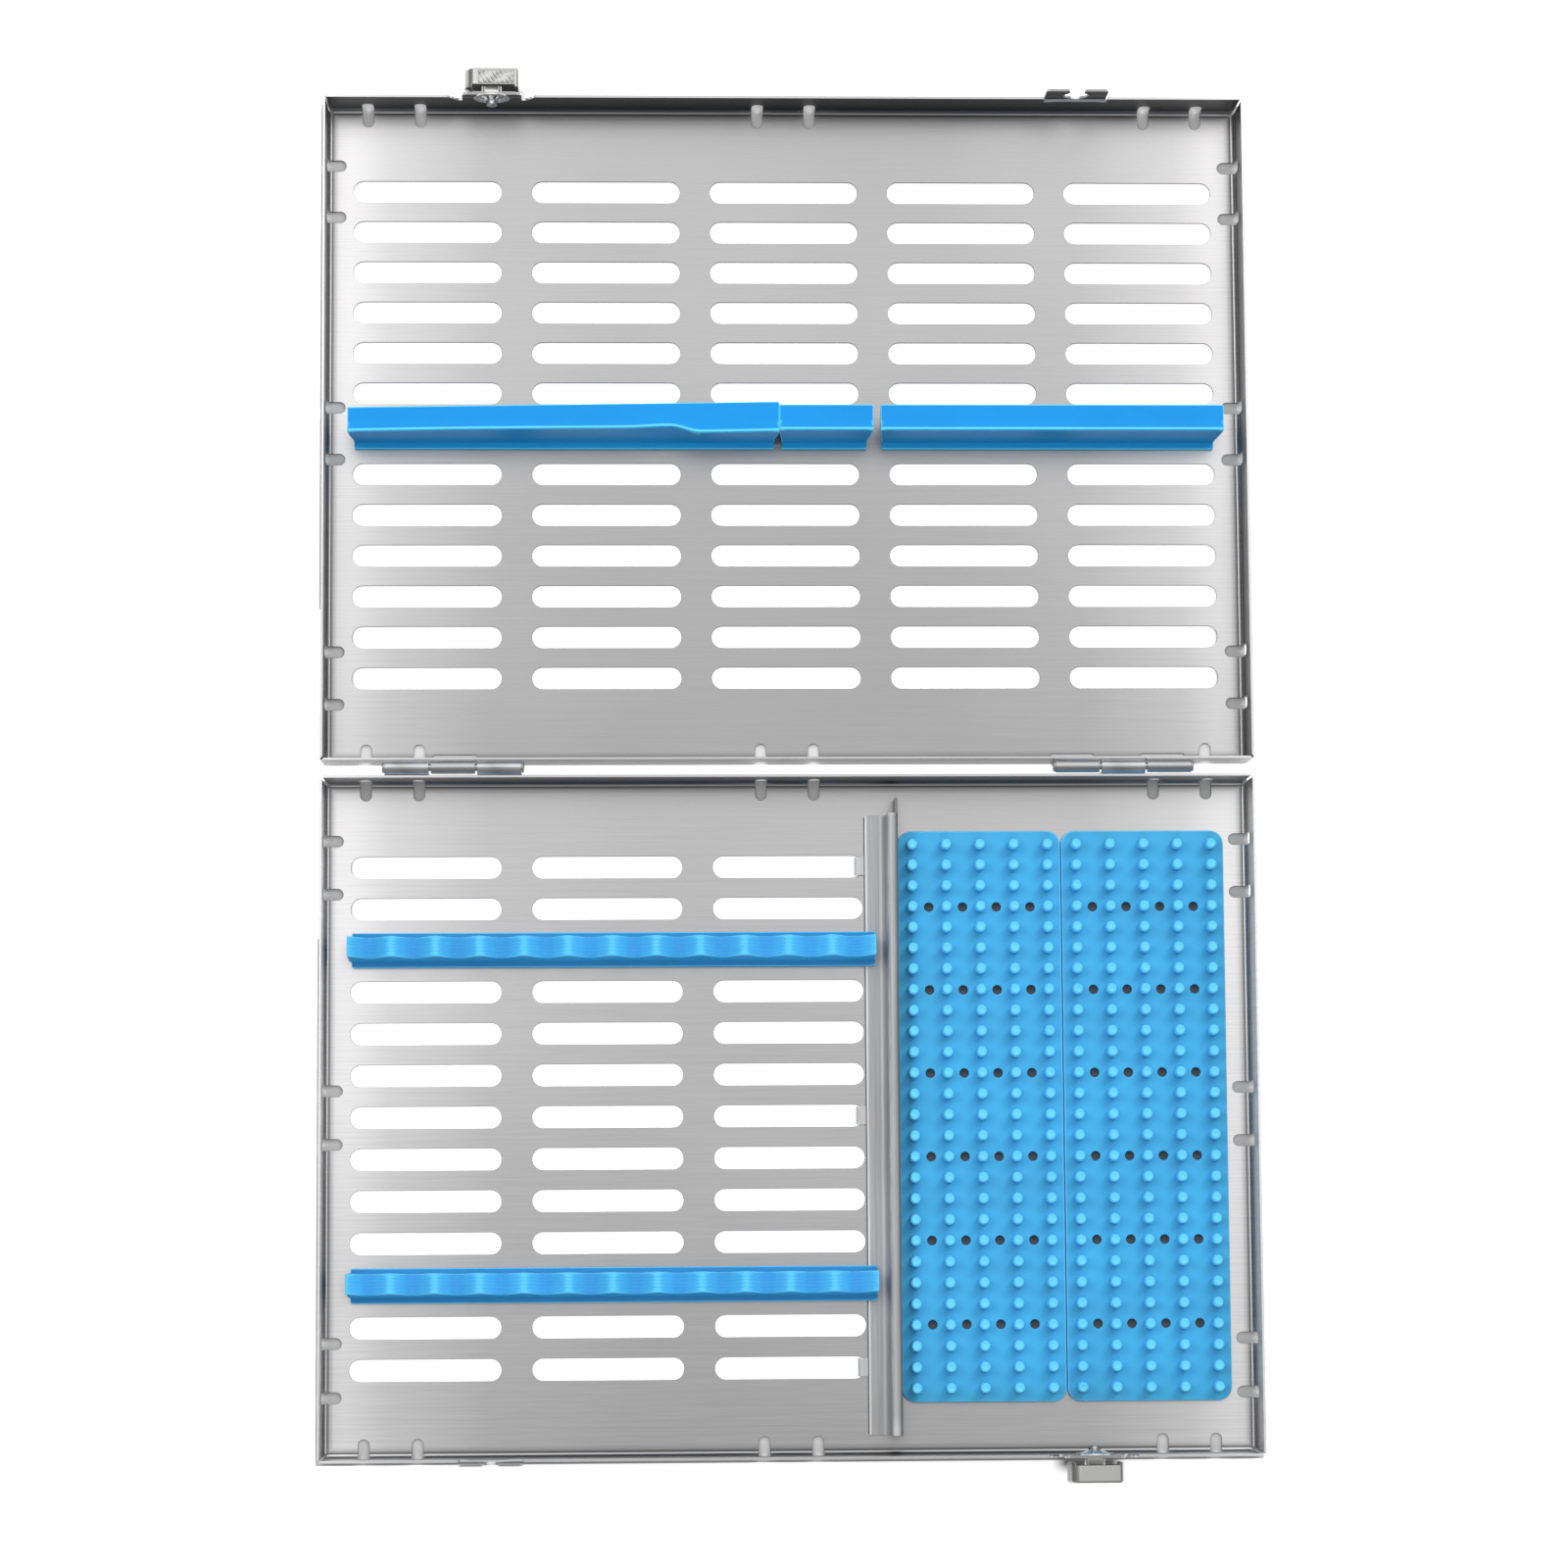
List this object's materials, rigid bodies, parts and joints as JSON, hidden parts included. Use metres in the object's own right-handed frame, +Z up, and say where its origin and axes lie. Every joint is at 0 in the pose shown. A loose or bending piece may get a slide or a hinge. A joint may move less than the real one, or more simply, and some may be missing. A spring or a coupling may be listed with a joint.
{
  "type": "dental instrument cassette",
  "caption": "Flat hinged cassette of perforated steel trays with silicone strips, pin mats, a divider and quarter-turn latches, lying open.",
  "frame": {"origin": "on the table under the middle of the hinge line, both halves open flat", "axes": "+X along the hinge, +Y from the base towards the lid, +Z up"},
  "size_m": [0.28, 0.4256, 0.0215],
  "materials": {
    "tray_steel": "brushed along the hinge",
    "knob_steel": "satin",
    "strip_silicone": "semi-gloss silicone",
    "mat_silicone": "satin silicone"
  },
  "bodies": {
    "base": {"base_tray": "tray_steel", "base_rear_rail": "tray_steel", "base_front_rail": "tray_steel", "base_rear_strip": "strip_silicone", "base_front_strip": "strip_silicone", "divider": "tray_steel", "left_mat": "mat_silicone", "right_mat": "mat_silicone", "base_hinge_leaf_1": "tray_steel", "base_hinge_leaf_2": "tray_steel", "base_hinge_leaf_3": "tray_steel", "hinge_pin_left": "knob_steel", "hinge_pin_right": "knob_steel"},
    "lid": {"lid_tray": "tray_steel", "lid_left_rail": "tray_steel", "lid_right_rail": "tray_steel", "lid_left_strip": "strip_silicone", "lid_middle_strip": "strip_silicone", "lid_right_strip": "strip_silicone", "lid_hinge_leaf_1": "tray_steel", "lid_hinge_leaf_2": "tray_steel", "lid_hinge_leaf_3": "tray_steel"},
    "base_knob": {"base_latch_knob": "knob_steel", "base_star_washer": "tray_steel"},
    "lid_knob": {"lid_latch_knob": "knob_steel", "lid_star_washer": "tray_steel"}
  },
  "joints": [
    {"name": "lid_hinge", "type": "hinge", "parent": "base", "child": "lid", "pos_m": [0, 0, 0.016], "axis": [1, 0, 0], "range_deg": [0, 180]},
    {"name": "base_latch_turn", "type": "hinge", "parent": "base", "child": "base_knob", "pos_m": [0.0889, -0.20525, 0.016], "axis": [0, -1, 0], "range_deg": [0, 90]},
    {"name": "lid_latch_turn", "type": "hinge", "parent": "lid", "child": "lid_knob", "pos_m": [-0.0889, 0.20525, 0.016], "axis": [0, 1, 0], "range_deg": [0, 90]}
  ]
}
